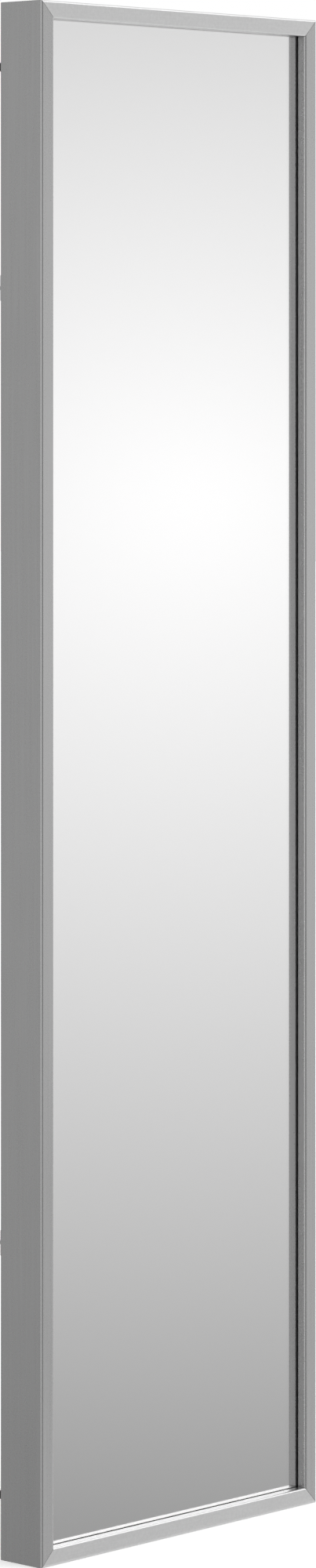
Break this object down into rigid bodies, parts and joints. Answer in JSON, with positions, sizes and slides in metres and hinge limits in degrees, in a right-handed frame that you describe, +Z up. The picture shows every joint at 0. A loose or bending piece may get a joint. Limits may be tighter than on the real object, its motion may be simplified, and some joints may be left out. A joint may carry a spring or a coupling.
{
  "type": "dressing mirror",
  "caption": "Full length dressing mirror in a deep satin metal frame with mitred corners, recessed glass, rear hanging bar with swinging D rings and rubber wall bumpers.",
  "frame": {"origin": "under the middle of the whole mirror's box, on the level of the bottom rail's underside", "axes": "+Z up, the mirror looks along -Y, +X to the viewer's right, so the back with its hangers and bumpers faces +Y"},
  "size_m": [0.4, 0.06, 1.5],
  "materials": {
    "frame_metal": "satin, fine grain along each rail",
    "key_steel": "zinc plated",
    "screw_steel": "bright zinc plated",
    "mirror_glass": "clear float glass, eased edges",
    "silvering": "silvered, painted grey behind",
    "hardboard": "tempered hardboard, smooth side out",
    "glazing_tape": "black closed cell foam tape",
    "block_rubber": "matt black",
    "spring_steel": "blued spring steel",
    "bar_steel": "zinc plated, cold rolled",
    "hanger_nickel": "nickel plated",
    "bumper_rubber": "matt black"
  },
  "bodies": {
    "frame": {"left_rail": "frame_metal", "top_rail": "frame_metal", "right_rail": "frame_metal", "bottom_rail": "frame_metal", "bottom_left_front_corner_key": "key_steel", "top_left_front_corner_key": "key_steel", "top_right_front_corner_key": "key_steel", "bottom_right_front_corner_key": "key_steel", "bottom_left_rear_corner_key": "key_steel", "top_left_rear_corner_key": "key_steel", "top_right_rear_corner_key": "key_steel", "bottom_right_rear_corner_key": "key_steel", "rear_key_set_screws": "screw_steel", "mirror_glass": "mirror_glass", "silver_backing": "silvering", "backing_board": "hardboard", "left_glazing_tape": "glazing_tape", "top_glazing_tape": "glazing_tape", "right_glazing_tape": "glazing_tape", "bottom_glazing_tape": "glazing_tape", "left_setting_block": "block_rubber", "right_setting_block": "block_rubber", "left_board_clips": "spring_steel", "top_board_clips": "spring_steel", "right_board_clips": "spring_steel", "bottom_board_clips": "spring_steel", "hanging_bar": "bar_steel", "stiffener_bar": "bar_steel", "bar_screws": "screw_steel", "bar_channel_nuts": "key_steel", "left_hanger_strap": "hanger_nickel", "right_hanger_strap": "hanger_nickel", "hanger_screws": "screw_steel", "upper_left_wall_bumper": "bumper_rubber", "upper_right_wall_bumper": "bumper_rubber", "lower_left_wall_bumper": "bumper_rubber", "lower_right_wall_bumper": "bumper_rubber"},
    "left_ring": {"left_hanger_ring": "hanger_nickel"},
    "right_ring": {"right_hanger_ring": "hanger_nickel"}
  },
  "joints": [
    {"name": "left_ring_swing", "type": "hinge", "parent": "frame", "child": "left_ring", "pos_m": [-0.105, 0.01928, 1.2355], "axis": [1, 0, 0], "range_deg": [0, 180]},
    {"name": "right_ring_swing", "type": "hinge", "parent": "frame", "child": "right_ring", "pos_m": [0.105, 0.01928, 1.2355], "axis": [1, 0, 0], "range_deg": [0, 180]}
  ]
}
